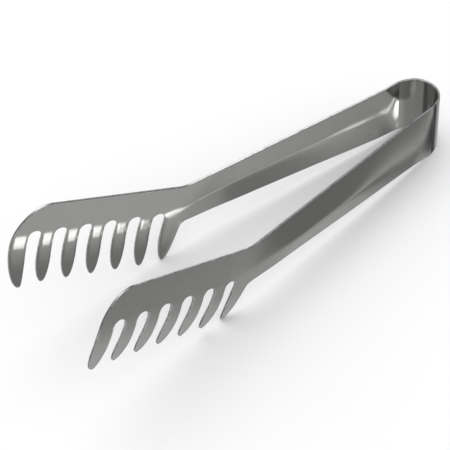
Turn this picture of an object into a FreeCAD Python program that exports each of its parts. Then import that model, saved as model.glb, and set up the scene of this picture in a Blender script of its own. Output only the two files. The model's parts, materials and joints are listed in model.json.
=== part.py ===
import FreeCAD, Part
import math
import os

from FreeCAD import Placement, Rotation, Vector

# Ice tongs made from one long strip of stainless sheet, in millimetres.
# The strip is folded round a bow in its middle. Each half then runs out as a handle and ends in a
# comb: a flat palm with a row of tines that curl towards the other arm. Every node below is one
# zone of that strip, and neighbouring zones meet face to face.
#
# The tongs stand on their edges: on the crown of the bow and on the tip of the tine nearest to each
# handle. +Z is up, the bow is at +X, the combs are at -X, and Y = 0 is the plane of symmetry.
# The right arm is at +Y and the left arm is its mirror image. The origin is on the ground, at the
# middle of the overall length.

# Sheet
SHEET = 1.0  # thickness of the strip

# Bow
BOW_RADIUS = 11.0  # to the middle of the sheet
STRIP_WIDTH = 28.8  # of the strip at the bow, from its lower edge to its upper edge
ARM_SPLAY = 6.1  # degrees between each handle and the plane of symmetry

# Handle
HANDLE_LENGTH = 110.0  # from the end of the bow to the upper corner of the neck
NECK_TOP_DROP = 3.9  # of the neck's upper corner, below the bow's upper edge
NECK_WIDTH = 19.5  # height of the neck, from corner to corner
NECK_SLANT = 4.1  # of the neck's lower corner, further along the handle than the upper one
CHANNEL_DEPTH = 1.4  # of the shallow channel pressed along the handle, hollow side inwards
CHANNEL_LIP = 0.25  # how far the edges of the channel stand inwards of the line from bow to neck
NECK_TUCK = 1.0  # how far the channel's lower edge heads inwards of the neck, until it runs out
CHANNEL_RISE = 9.0  # length in which the channel deepens, from the bow
CHANNEL_FADE = 12.0  # length in which the channel runs out, before the neck

# Comb, as it lies in its own plane: lengths run along its upper edge, depths down from that edge
COMB_RISE = 22.7  # degrees that the comb turns up from the line of the handle
COMB_TOE_IN = 0.8  # degrees that the comb turns inwards
PALM_FLARE = 3.9  # degrees that the palm leans outwards, towards the tines
END_ROUND = 15.0  # length of the rounded end, past the straight stretch of the upper edge
END_WIDEST = 21.0  # depth at which the rounded end reaches furthest
CURL_START = 14.0  # depth at which the sheet starts to curl inwards
CURL_RADIUS = 46.0  # of the curl, to the middle of the sheet
CURL_EASE = 26.0  # depth at which the curl becomes gentler
TIP_RADIUS = 102.0  # of the gentler curl

# Slots and tines
SLOT_COUNT = 6
SLOT_FIRST = 8.1  # length from the neck to the middle of the nearest slot
SLOT_PITCH = 12.05
SLOT_TOP = 14.2  # depth of the round top of each slot
SLOT_WIDTH = 5.9  # at the top
SLOT_MOUTH = 5.4  # width where the tips start to round off
TIP_ROUND = 10.7  # height of the rounded tip of a tine, above its point
TINE_REACH = 38.2  # depth of the point of a middle tine
END_TINE_REACH = 39.5  # depth of the point of the tine at the comb's end
END_TINE_WIDTH = 8.05  # of the tine at the comb's end, from its slot to the comb's widest
END_POINT_INSET = 1.35  # length from that slot's far side to the tine's point
HEEL_TINE_REACH = 37.2  # depth of the point of the tine at the neck
HEEL_POINT_INSET = 3.0  # length from the nearest slot's side to that point, towards the neck
HEEL_LEAN = 2.4  # how far that tine's outer side leans towards the comb's end before it rounds off

SPARE = 5.0  # how far a cutting body runs past what it cuts
HALF_SHEET = SHEET / 2


def line(start, end):
    """A straight edge."""
    return Part.LineSegment(start, end).toShape()


def arc(start, middle, end):
    """A round edge through three points."""
    return Part.Arc(start, middle, end).toShape()


def quarter(start, corner, end):
    """A quarter of an ellipse, tangent at both ends to the sides that meet in the corner."""
    curve = Part.BezierCurve()
    curve.setPoles([start, corner, end])
    curve.setWeight(2, math.cos(math.radians(45)))
    return curve.toShape()


def face(edges):
    """A flat face inside a closed run of edges."""
    return Part.Face(Part.Wire(edges))


def along(start, end, share):
    """The point at a share of the way from start to end."""
    return start + (end - start) * share


def on_bow(radius, degrees):
    """A point at a radius round the bow's axis, at an angle from the crown."""
    angle = math.radians(degrees)
    return Vector(radius * math.cos(angle), radius * math.sin(angle), 0)


BOW_END = 90 - ARM_SPLAY  # degrees from the crown to where the handle starts

# The arm's frame: X along the handle from the end of the bow, Y inwards, Z up from the bow's lower edge
ARM_PLACE = Placement(on_bow(BOW_RADIUS, BOW_END), Rotation(Vector(0, 0, 1), 180 - ARM_SPLAY))


def comb_place():
    """The comb's frame in the arm's frame: X along its upper edge, Y down its depth, Z inwards."""
    turn_up = Rotation(Vector(0, 1, 0), -COMB_RISE)
    face_down = Rotation(Vector(1, 0, 0), -90)
    toe_in = Rotation(Vector(0, 1, 0), -COMB_TOE_IN)
    flare = Rotation(Vector(1, 0, 0), -PALM_FLARE)
    corner = Vector(HANDLE_LENGTH, 0, STRIP_WIDTH - NECK_TOP_DROP)
    return Placement(corner, turn_up * face_down * toe_in * flare)


COMB_PLACE = comb_place()


def neck_foot():
    """The neck's lower corner in the comb's plane."""
    rise = math.radians(COMB_RISE)
    length = NECK_SLANT * math.cos(rise) - NECK_WIDTH * math.sin(rise)
    depth = NECK_SLANT * math.sin(rise) + NECK_WIDTH * math.cos(rise)
    return Vector(length, depth, 0)


NECK_FOOT = neck_foot()
SLOT_LAST = SLOT_FIRST + SLOT_PITCH * (SLOT_COUNT - 1)  # length from the neck to the furthest slot
COMB_LENGTH = SLOT_LAST + SLOT_MOUTH / 2 + END_TINE_WIDTH
ROOT_DEPTH = SLOT_TOP + SLOT_WIDTH / 2  # where the tines leave the palm
DEEPEST = max(TINE_REACH, END_TINE_REACH, HEEL_TINE_REACH)


def tine_points():
    """The point of each tine in the comb's plane, from the comb's end to the neck."""
    points = [Vector(SLOT_LAST + SLOT_MOUTH / 2 + END_POINT_INSET, END_TINE_REACH, 0)]
    for place in reversed(range(SLOT_COUNT - 1)):
        points.append(Vector(SLOT_FIRST + SLOT_PITCH * (place + 0.5), TINE_REACH, 0))
    heel_point = Vector(SLOT_FIRST - SLOT_MOUTH / 2 - HEEL_POINT_INSET, HEEL_TINE_REACH, 0)
    return [*points, heel_point]


def slot_edges(centre, far_point, near_point):
    """The edges from the point of one tine, up round a slot and down to the point of the next."""
    far_mouth, near_mouth = centre + SLOT_MOUTH / 2, centre - SLOT_MOUTH / 2
    far_shoulder = Vector(far_mouth, far_point.y - TIP_ROUND, 0)
    near_shoulder = Vector(near_mouth, near_point.y - TIP_ROUND, 0)
    far_root = Vector(centre + SLOT_WIDTH / 2, ROOT_DEPTH, 0)
    near_root = Vector(centre - SLOT_WIDTH / 2, ROOT_DEPTH, 0)
    return [
        quarter(far_point, Vector(far_mouth, far_point.y, 0), far_shoulder),
        line(far_shoulder, far_root),
        arc(far_root, Vector(centre, SLOT_TOP, 0), near_root),
        line(near_root, near_shoulder),
        quarter(near_shoulder, Vector(near_mouth, near_point.y, 0), near_point),
    ]


def comb_outline():
    """The comb's outline in its own plane, from the upper corner of the neck round to it again."""
    neck_top = Vector(0, 0, 0)
    edge_end = Vector(COMB_LENGTH - END_ROUND, 0, 0)
    widest = Vector(COMB_LENGTH, END_WIDEST, 0)
    points = tine_points()
    edges = [
        line(neck_top, edge_end),
        quarter(edge_end, Vector(widest.x, 0, 0), widest),
        quarter(widest, Vector(widest.x, END_TINE_REACH, 0), points[0]),
    ]
    for number in range(SLOT_COUNT):
        centre = SLOT_LAST - SLOT_PITCH * number
        edges += slot_edges(centre, points[number], points[number + 1])
    edges += [
        quarter(points[-1], Vector(NECK_FOOT.x + HEEL_LEAN, HEEL_TINE_REACH, 0), NECK_FOOT),
        line(NECK_FOOT, neck_top),
    ]
    return face(edges)


def curled_sheet():
    """A plain sheet, flat down to the curl and then bent inwards, wider all round than the comb."""
    turn = math.asin((CURL_EASE - CURL_START) / CURL_RADIUS)
    centre = Vector(0, CURL_START, CURL_RADIUS)
    ease_centre = centre + Vector(0, math.sin(turn), -math.cos(turn)) * (CURL_RADIUS - TIP_RADIUS)
    end = math.asin((DEEPEST + SPARE - ease_centre.y) / (TIP_RADIUS - HALF_SHEET))

    def on_curl(angle, offset):
        """A point of the curled stretch, offset outwards from the middle of the sheet."""
        direction = Vector(0, math.sin(angle), -math.cos(angle))
        if angle <= turn:
            return centre + direction * (CURL_RADIUS + offset)
        return ease_centre + direction * (TIP_RADIUS + offset)

    def curl_edges(offset):
        """The two arcs of one side of the sheet, from the flat stretch towards the tips."""
        return [
            arc(on_curl(0, offset), on_curl(turn / 2, offset), on_curl(turn, offset)),
            arc(on_curl(turn, offset), on_curl((turn + end) / 2, offset), on_curl(end, offset)),
        ]

    outer_top, inner_top = Vector(0, -SPARE, -HALF_SHEET), Vector(0, -SPARE, HALF_SHEET)
    section = face(
        [
            line(outer_top, on_curl(0, HALF_SHEET)),
            *curl_edges(HALF_SHEET),
            line(on_curl(end, HALF_SHEET), on_curl(end, -HALF_SHEET)),
            *reversed(curl_edges(-HALF_SHEET)),
            line(on_curl(0, -HALF_SHEET), inner_top),
            line(inner_top, outer_top),
        ]
    )
    start = NECK_FOOT.x - SPARE
    section.translate(Vector(start, 0, 0))
    return section.extrude(Vector(COMB_LENGTH + SPARE - start, 0, 0))


def make_comb():
    """The palm and its tines in the arm's frame, by name. Tine 1 is at the comb's end."""
    outline = comb_outline()
    outline.translate(Vector(0, 0, -SPARE))
    comb = curled_sheet().common(outline.extrude(Vector(0, 0, CURL_RADIUS)))
    length = COMB_LENGTH - NECK_FOOT.x + 2 * SPARE
    corner = Vector(NECK_FOOT.x - SPARE, ROOT_DEPTH, -SPARE)
    below_root = Part.makeBox(length, DEEPEST, CURL_RADIUS, corner)
    tines = sorted(comb.common(below_root).Solids, key=lambda tine: -tine.CenterOfMass.x)
    solids = {"comb_plate": comb.cut(below_root).Solids[0]}
    for number, tine in enumerate(tines, start=1):
        solids[f"tine_{number}"] = tine
    for solid in solids.values():
        solid.Placement = COMB_PLACE
    return solids


def strip_section(top, bottom, inwards, depth):
    """The closed outline of the strip where it is cut across, bowed outwards by depth."""
    outer_top, outer_bottom = top - inwards * HALF_SHEET, bottom - inwards * HALF_SHEET
    inner_top, inner_bottom = top + inwards * HALF_SHEET, bottom + inwards * HALF_SHEET
    middle = along(top, bottom, 0.5) - inwards * depth
    if depth:
        outer = arc(outer_top, middle - inwards * HALF_SHEET, outer_bottom)
        inner = arc(inner_bottom, middle + inwards * HALF_SHEET, inner_top)
    else:
        outer, inner = line(outer_top, outer_bottom), line(inner_bottom, inner_top)
    return Part.Wire([outer, line(outer_bottom, inner_bottom), inner, line(inner_top, outer_top)])


def make_handle():
    """The tapering handle with its shallow channel, in the arm's frame."""
    bow_top, bow_bottom, bow_inwards = Vector(0, 0, STRIP_WIDTH), Vector(0, 0, 0), Vector(0, 1, 0)
    neck_top = COMB_PLACE.multVec(Vector(0, 0, 0))
    neck_bottom = COMB_PLACE.multVec(NECK_FOOT)
    neck_inwards = COMB_PLACE.Rotation.multVec(Vector(0, 0, 1))
    sections = [strip_section(bow_top, bow_bottom, bow_inwards, 0)]
    tucked_bottom = neck_bottom + neck_inwards * NECK_TUCK
    for share in (CHANNEL_RISE / HANDLE_LENGTH, 1 - CHANNEL_FADE / HANDLE_LENGTH):
        inwards = along(bow_inwards, neck_inwards, share).normalize()
        top = along(bow_top, neck_top, share) + inwards * CHANNEL_LIP
        bottom = along(bow_bottom, tucked_bottom, share) + inwards * CHANNEL_LIP
        sections.append(strip_section(top, bottom, inwards, CHANNEL_DEPTH))
    sections.append(strip_section(neck_top, neck_bottom, neck_inwards, 0))
    return Part.makeLoft(sections, True, True)


def make_bow():
    """The bow, about its own axis, with its lower edge at Z = 0 and its crown at +X."""
    outer, inner = BOW_RADIUS + HALF_SHEET, BOW_RADIUS - HALF_SHEET
    section = face(
        [
            arc(on_bow(outer, -BOW_END), on_bow(outer, 0), on_bow(outer, BOW_END)),
            line(on_bow(outer, BOW_END), on_bow(inner, BOW_END)),
            arc(on_bow(inner, BOW_END), on_bow(inner, 0), on_bow(inner, -BOW_END)),
            line(on_bow(inner, -BOW_END), on_bow(outer, -BOW_END)),
        ]
    )
    return section.extrude(Vector(0, 0, STRIP_WIDTH))


def stand_angle(heel_tine):
    """Degrees to turn about Y so that the bow's crown and the heel tine's tip touch one level floor."""
    crown = BOW_RADIUS + HALF_SHEET
    tip = [point for edge in heel_tine.Edges for point in edge.discretize(60)]
    return max(math.degrees(math.atan2(-point.z, crown - point.x)) for point in tip)


def make_tongs():
    """Every node of the tongs, standing on the ground, as a dictionary of solids."""
    right_arm = {"handle": make_handle(), **make_comb()}
    solids = {"bow": make_bow()}
    for name, solid in right_arm.items():
        solid.Placement = ARM_PLACE * solid.Placement
        solids[f"right_{name}"] = solid
        solids[f"left_{name}"] = solid.mirror(Vector(0, 0, 0), Vector(0, 1, 0))
    heel_tine = solids[f"right_tine_{SLOT_COUNT + 1}"]
    turn = Placement(Vector(0, 0, 0), Rotation(Vector(0, 1, 0), stand_angle(heel_tine)))
    for solid in solids.values():
        solid.Placement = turn * solid.Placement
    box = Part.makeCompound(list(solids.values())).optimalBoundingBox()
    to_origin = Vector(-(box.XMin + box.XMax) / 2, 0, -box.ZMin)
    for solid in solids.values():
        solid.translate(to_origin)
    return solids


os.makedirs("parts", exist_ok=True)
for node, shape in make_tongs().items():
    shape.exportStep(f"parts/{node}.step")
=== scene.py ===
import sys
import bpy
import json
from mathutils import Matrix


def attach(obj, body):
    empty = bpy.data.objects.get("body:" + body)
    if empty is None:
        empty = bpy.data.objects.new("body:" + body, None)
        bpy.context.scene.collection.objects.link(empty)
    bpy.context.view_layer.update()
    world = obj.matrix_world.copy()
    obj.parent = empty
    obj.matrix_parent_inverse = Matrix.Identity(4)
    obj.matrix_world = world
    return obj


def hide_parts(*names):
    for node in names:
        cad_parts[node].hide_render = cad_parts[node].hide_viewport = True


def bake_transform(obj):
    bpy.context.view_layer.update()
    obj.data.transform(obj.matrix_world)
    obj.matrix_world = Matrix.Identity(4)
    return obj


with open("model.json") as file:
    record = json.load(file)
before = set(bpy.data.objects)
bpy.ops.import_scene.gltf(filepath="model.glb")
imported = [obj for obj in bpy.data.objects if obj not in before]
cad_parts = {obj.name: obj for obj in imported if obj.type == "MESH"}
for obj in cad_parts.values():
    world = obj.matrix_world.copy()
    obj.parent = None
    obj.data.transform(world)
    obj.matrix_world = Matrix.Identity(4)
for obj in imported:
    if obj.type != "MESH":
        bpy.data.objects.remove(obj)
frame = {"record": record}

"""Comb serving tongs: one strip of polished stainless sheet, as two arms and the two halves of a bow.

Sizes are in millimetres in the strip's own frame, in which Z is the axis of the bow, with zero at the
bow's lower edge, the crown of the bow is at +X and the right arm is at +Y. StripFrame turns them into
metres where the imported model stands.
"""

import json
import logging
import math
from collections.abc import Sequence
from dataclasses import dataclass, field
from enum import Enum

import bmesh
import bpy
import numpy as np
from mathutils import Matrix, Vector, geometry

MM = 0.001
BLANK, EDGE = "blank", "edge_distance"  # mesh attributes that the finishes are placed by
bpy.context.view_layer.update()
log = logging.getLogger("tongs")

NEWTON_STEPS = 8  # that place a point of the blank on the handle
PROBE = 0.02  # how far apart the forming is read to find the sheet's normal
BLOCK = 2000  # points whose distance to a line is worked out at once
SLOT_STEPS, END_STEPS, HEEL_STEPS = 14, 40, 60  # points round a slot, the comb's end and the heel tine
TINY = 1e-12  # keeps a division from a length of nothing
QUAD_ANGLE = math.radians(40.0)  # most that two triangles may be bent or skewed to become one face
MIX_SHARE, MIX_FIRST, MIX_SECOND, MIX_RESULT = 0, 6, 7, 2  # sockets of a Mix node of colours


# --------------------------------------------------------------------------- small mathematics


def unit(vectors: np.ndarray) -> np.ndarray:
    """Vectors made one long, along the last axis."""
    return vectors / np.linalg.norm(vectors, axis=-1, keepdims=True)


def ease(values: np.ndarray | float, start: float, end: float) -> np.ndarray:
    """A smooth step from 0 at start to 1 at end.

    Args:
        values: Where to read the step.
        start: The value at and before which the step is 0.
        end: The value at and after which it is 1.

    Returns:
        The step, with no slope and no curvature at either end.
    """
    share = np.clip((np.asarray(values, float) - start) / (end - start), 0.0, 1.0)
    return share**3 * (share * (6.0 * share - 15.0) + 10.0)


def mixed(first: np.ndarray | float, second: np.ndarray | float, share: np.ndarray) -> np.ndarray:
    """First where share is 0, second where it is 1."""
    return first + (second - first) * share


def soft_ramp(values: np.ndarray, softness: np.ndarray | float) -> np.ndarray:
    """Zero for negative values and the value itself for positive ones, rounded about zero."""
    return (values + np.sqrt(values**2 + softness**2)) / 2.0


def turn(axis: str, degrees: float) -> np.ndarray:
    """The rotation matrix about a main axis."""
    return np.array(Matrix.Rotation(math.radians(degrees), 3, axis))


# --------------------------------------------------------------------------- frames


class Side(Enum):
    """The two arms, each with the sign of its Y."""

    RIGHT = 1.0
    LEFT = -1.0

    @property
    def body(self) -> str:
        """The CAD body that carries this arm."""
        return f"{self.name.lower()}_arm"

    @property
    def nodes(self) -> list[str]:
        """The CAD nodes of this arm."""
        return list(frame["record"]["behaviour"]["bodies"][self.body])


@dataclass(frozen=True)
class StripFrame:
    """Where the strip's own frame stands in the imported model's frame.

    Attributes:
        origin: The frame's origin, in metres.
        axes: Its X, Y and Z axes as rows.
    """

    origin: np.ndarray
    axes: np.ndarray

    @classmethod
    def from_record(cls, record: dict) -> "StripFrame":
        """Reads the bow's axis from the mount that clamps a rail in the bow.

        Args:
            record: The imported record.

        Returns:
            The frame of the strip.
        """
        mount = next(m for m in record["mounts"] if m["name"] == "hanging_bow")
        up = unit(np.array(mount["axis"], float))
        across = np.array([0.0, 1.0, 0.0])
        half_width = mount["dims"]["length_mm"] / 2.0 * MM
        origin = np.array(mount["pos_m"], float) - up * half_width
        return cls(origin, np.array([np.cross(across, up), across, up]))

    def place(self, points: np.ndarray, side: Side) -> np.ndarray:
        """Points of the right arm, in millimetres, as points of either arm in metres."""
        return self.origin + self.turned(points, side) * MM

    def turned(self, vectors: np.ndarray, side: Side) -> np.ndarray:
        """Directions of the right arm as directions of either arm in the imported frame."""
        return (vectors * np.array([1.0, side.value, 1.0])) @ self.axes


# --------------------------------------------------------------------------- shape of the strip


@dataclass(frozen=True)
class Sheet:
    """The sheet and the way its sheared edges are rounded.

    Attributes:
        thickness: Of the sheet.
        edge_radius: Of the rounding between a face and the edge.
        edge_steps: Facets in each rounding.
    """

    thickness: float = 1.0
    edge_radius: float = 0.3
    edge_steps: int = 4

    def profile(self) -> list[tuple[float, float, float, float]]:
        """The edge in cross section, from the outer face round to the inner one.

        Returns:
            Rows of how far out of the inset edge and how far inwards a point lies, and its normal's
            two parts in the same directions.
        """
        centre = self.thickness / 2.0 - self.edge_radius
        quarter = np.linspace(0.0, math.pi / 2.0, self.edge_steps + 1)
        outer = [(math.sin(a), -math.cos(a), -1.0) for a in quarter]
        inner = [(math.sin(a), math.cos(a), 1.0) for a in reversed(quarter)]
        return [
            (self.edge_radius * out, face * centre + self.edge_radius * into, out, into)
            for out, into, face in outer + inner
        ]


@dataclass(frozen=True)
class Bow:
    """The springy bow that joins the arms.

    Attributes:
        radius: To the middle of the sheet.
        width: Of the strip at the bow.
        splay: Degrees between each handle and the plane of symmetry.
        crease: Slope inwards with which the bow meets the crease at each handle.
        crease_length: Length of the bow that the crease draws in.
        columns: Faces across the strip.
        rows: Faces from the crown to the crease at the handle.
    """

    radius: float = 11.0
    width: float = 28.8
    splay: float = 6.1
    crease: float = 0.223
    crease_length: float = 9.0
    columns: int = 44
    rows: int = 56

    @property
    def end(self) -> float:
        """Degrees from the crown to the crease at the handle."""
        return 90.0 - self.splay

    def reach(self, degrees: np.ndarray | float) -> tuple[np.ndarray, np.ndarray]:
        """How far the middle of the sheet lies from the bow's axis.

        Args:
            degrees: Angles from the crown.

        Returns:
            The distance at each angle, and its slope by angle.
        """
        before = self.radius * np.radians(self.end - np.asarray(degrees, float))
        share = np.clip(before / self.crease_length, 0.0, 1.0)
        drawn = self.crease * self.crease_length * share * (1.0 - share) ** 2
        return self.radius - drawn, self.crease * self.radius * (1.0 - share) * (1.0 - 3.0 * share)

    def point(self, degrees: np.ndarray | float, height: np.ndarray | float) -> np.ndarray:
        """A point of the middle of the sheet, at an angle from the crown and a height."""
        angle, (reach, _) = np.radians(degrees), self.reach(degrees)
        return np.stack([reach * np.cos(angle), reach * np.sin(angle), height + 0.0 * angle], -1)

    def inwards(self, degrees: np.ndarray | float) -> np.ndarray:
        """The direction square to the sheet, into the bow.

        Args:
            degrees: Angles from the crown.

        Returns:
            The direction at each angle.
        """
        angle, (reach, slope) = np.radians(degrees), self.reach(degrees)
        cosine, sine = np.cos(angle), np.sin(angle)
        x, y = -reach * cosine - slope * sine, -reach * sine + slope * cosine
        return unit(np.stack([x, y, 0.0 * angle], -1))

    def heights(self, sheet: Sheet) -> np.ndarray:
        """Heights of the columns, from the lower edge's rounding to the upper edge's."""
        return np.linspace(sheet.edge_radius, self.width - sheet.edge_radius, self.columns + 1)


@dataclass(frozen=True)
class Channel:
    """The shallow channel pressed along the handle, hollow side inwards, and its fold.

    Attributes:
        depth: How far the fold stands outwards of the line between the two ends of the handle.
        lip: How far the handle's edges stand inwards of that line.
        heel_lip: The same for the lower edge where it runs into the heel tine.
        rise: Length in which the channel deepens from the crease at the bow.
        fade: Lengths from the bow between which the channel opens into the flat palm.
        fold_at_bow: Share of the width above the fold, at the bow.
        fold_at_neck: The same at the neck.
        softness: Roundness of the fold near the bow, along the handle and beside the slots.
        soft_until: Lengths from the bow between which the fold sharpens.
        least_width: Least width of the sheet beside the fold, to work its slope out over.
        slot_blend: Lengths past the neck's lower corner between which the fold softens.
        heel_slope: Slope of the sheet below the fold at the heel tine.
        heel_blend: Lengths past that corner between which the sheet takes that slope.
        heel_curl: Curvature of the heel tine.
        heel_flat: Distance below the fold at which the heel tine starts to curl.
        heel_softness: Roundness of that start.
        heel_curl_blend: Lengths past the same corner between which the curl sets in.
        flare: Slope outwards with which the handle leaves the crease at the bow.
        flare_length: Length of that flare along the upper and the lower edge.
    """

    depth: float = 1.62
    lip: float = 0.25
    heel_lip: float = 1.43
    rise: float = 11.0
    fade: tuple[float, float] = (76.0, 116.0)
    fold_at_bow: float = 0.55
    fold_at_neck: float = 0.62
    softness: tuple[float, float, float] = (7.0, 0.9, 1.8)
    soft_until: tuple[float, float] = (10.0, 66.0)
    least_width: float = 5.0
    slot_blend: tuple[float, float] = (-8.0, 4.0)
    heel_slope: float = 0.19
    heel_blend: tuple[float, float] = (-30.0, 0.0)
    heel_curl: float = 0.0066
    heel_flat: float = 7.4
    heel_softness: float = 3.0
    heel_curl_blend: tuple[float, float] = (-12.0, 4.0)
    flare: float = 0.085
    flare_length: tuple[float, float] = (5.0, 12.5)


@dataclass(frozen=True)
class Comb:
    """The palm and its tines: lengths run along the upper edge, depths down from that edge.

    Attributes:
        rise: Degrees that the comb turns up from the line of the handle.
        toe_in: Degrees that it turns inwards.
        flare: Degrees that the palm leans outwards.
        end_round: Length of the rounded end past the straight stretch of the upper edge.
        end_widest: Depth at which the rounded end reaches furthest.
        curl_start: Depth at which the sheet starts to curl inwards.
        curl_radius: Of the curl.
        curl_ease: Depth at which the curl becomes gentler.
        tip_radius: Of the gentler curl.
        slots: How many there are.
        first_slot: Length from the neck to the middle of the nearest slot.
        pitch: Of the slots.
        slot_top: Depth of the round top of each slot.
        slot_width: At the top.
        slot_mouth: Width where the tips start to round off.
        tip_round: Height of the rounded tip of a tine, above its point.
        reach: Depth of the point of a middle tine.
        end_reach: Depth of the point of the tine at the comb's end.
        end_width: Of that tine.
        end_inset: Length from that slot's far side to the tine's point.
        heel_reach: Depth of the point of the tine at the neck.
        heel_inset: Length from the nearest slot's side to that point.
        heel_lean: How far that tine's outer side leans before it rounds off.
        edge_roll: How far the inner face falls away at the rim of the tines.
        edge_band: Width of the rim in which it falls away.
        edge_lead: Depth above the slots' tops down to which the rim stays flat.
        edge_blend: Depths past the slots' tops between which the rim starts to fall away.
    """

    rise: float = 22.7
    toe_in: float = 0.8
    flare: float = 3.9
    end_round: float = 15.0
    end_widest: float = 21.0
    curl_start: float = 14.0
    curl_radius: float = 46.0
    curl_ease: float = 26.0
    tip_radius: float = 102.0
    slots: int = 6
    first_slot: float = 8.1
    pitch: float = 12.05
    slot_top: float = 14.2
    slot_width: float = 5.9
    slot_mouth: float = 5.4
    tip_round: float = 10.7
    reach: float = 38.2
    end_reach: float = 39.5
    end_width: float = 8.05
    end_inset: float = 1.35
    heel_reach: float = 37.2
    heel_inset: float = 3.0
    heel_lean: float = 2.4
    edge_roll: float = 0.15
    edge_band: float = 1.8
    edge_lead: float = 1.0
    edge_blend: tuple[float, float] = (-1.5, 7.0)

    @property
    def last_slot(self) -> float:
        """Length from the neck to the middle of the furthest slot."""
        return self.first_slot + self.pitch * (self.slots - 1)

    @property
    def length(self) -> float:
        """Length from the neck to where the rounded end reaches furthest."""
        return self.last_slot + self.slot_mouth / 2.0 + self.end_width

    def curl(self, depth: np.ndarray) -> np.ndarray:
        """How far inwards of the palm's plane the sheet lies.

        Args:
            depth: Depths below the comb's upper edge.

        Returns:
            The distance at each depth.
        """
        turned = math.asin((self.curl_ease - self.curl_start) / self.curl_radius)
        shorter = self.tip_radius - self.curl_radius
        centre = self.curl_start - shorter * math.sin(turned)
        height = self.curl_radius + shorter * math.cos(turned)
        curled = np.clip(depth - self.curl_start, 0.0, self.curl_ease - self.curl_start)
        tight = self.curl_radius - np.sqrt(self.curl_radius**2 - curled**2)
        gentle = height - np.sqrt(self.tip_radius**2 - (depth - centre) ** 2)
        return np.where(depth > self.curl_ease, gentle, tight)


def straight(start: Sequence[float], end: Sequence[float], step: float = 1.0) -> np.ndarray:
    """Points of a straight edge.

    Args:
        start: Where it starts.
        end: Where it ends.
        step: About how far apart its points are.

    Returns:
        Its points without the last one.
    """
    start, end = np.array(start, float), np.array(end, float)
    count = max(1, round(float(np.linalg.norm(end - start)) / step))
    return start + (end - start) * np.linspace(0.0, 1.0, count, endpoint=False)[:, None]


def quarter(
    start: Sequence[float], corner: Sequence[float], end: Sequence[float], count: int = 22
) -> np.ndarray:
    """A quarter of an ellipse, tangent at both ends to the sides that meet in the corner.

    Args:
        start: Where it starts.
        corner: Where its two tangents meet.
        end: Where it ends.
        count: How many points it has.

    Returns:
        Its points without the last one.
    """
    start, corner, end = (np.array(p, float) for p in (start, corner, end))
    centre = start + end - corner
    angle = np.linspace(0.0, math.pi / 2.0, count, endpoint=False)[:, None]
    return centre + (start - centre) * np.cos(angle) + (end - centre) * np.sin(angle)


def blunted(line: np.ndarray, corner: Sequence[float], cut: float, count: int = 9) -> np.ndarray:
    """Rounds off one corner of an outline.

    Args:
        line: Points of the outline.
        corner: The corner, which the outline passes through.
        cut: Distance from the corner at which the rounding starts on each side.
        count: How many points the rounding has.

    Returns:
        The outline with a smooth curve across that corner.
    """
    corner = np.array(corner, float)
    near = np.flatnonzero(np.linalg.norm(line - corner, axis=1) < cut)
    start, end = line[near[0] - 1], line[near[-1] + 1]
    share = np.linspace(0.0, 1.0, count + 2)[1:-1, None]
    curve = start * (1 - share) ** 2 + corner * 2 * share * (1 - share) + end * share**2
    return np.vstack([line[: near[0]], curve, line[near[-1] + 1 :]])


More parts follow.
